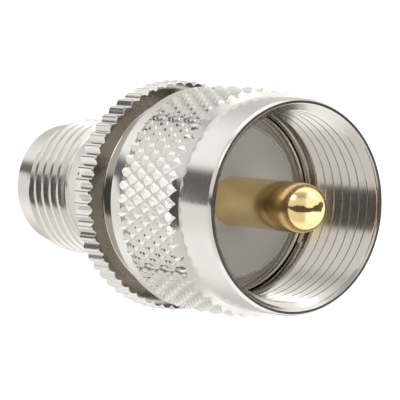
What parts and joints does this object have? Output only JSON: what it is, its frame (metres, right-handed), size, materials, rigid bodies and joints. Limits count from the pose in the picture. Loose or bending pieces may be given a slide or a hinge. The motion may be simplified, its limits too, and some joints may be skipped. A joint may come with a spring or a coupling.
{
  "type": "coaxial adapter",
  "caption": "Straight coaxial adapter: knurled coupling nut that turns and slides round a gold ball-tipped pin, toothed grip flange, and a threaded jack with a slotted socket contact.",
  "frame": {"origin": "centre of the jack's end face, which the adapter stands on", "axes": "+Z along the adapter's axis, from the jack towards the plug's pin"},
  "size_m": [0.0184, 0.0184, 0.0338],
  "materials": {
    "nickel_plate": "bright nickel plate on turned brass",
    "gold_plate": "polished gold plate",
    "white_resin": "matt white resin",
    "spring_bronze": "plain bronze"
  },
  "bodies": {
    "shell": {"jack_shell": "nickel_plate", "plug_shell": "nickel_plate", "plug_insulator": "white_resin", "jack_insulator": "white_resin", "plug_pin": "gold_plate", "jack_socket": "gold_plate"},
    "ring": {"retaining_ring": "spring_bronze"},
    "nut": {"coupling_nut": "nickel_plate"}
  },
  "joints": [
    {"name": "nut_slide", "type": "slide", "parent": "shell", "child": "ring", "axis": [0, 0, 1], "range_m": [0, 0.0012]},
    {"name": "nut_spin", "type": "hinge", "parent": "ring", "child": "nut", "pos_m": [0, 0, 0.0198], "axis": [0, 0, 1], "continuous": true}
  ]
}
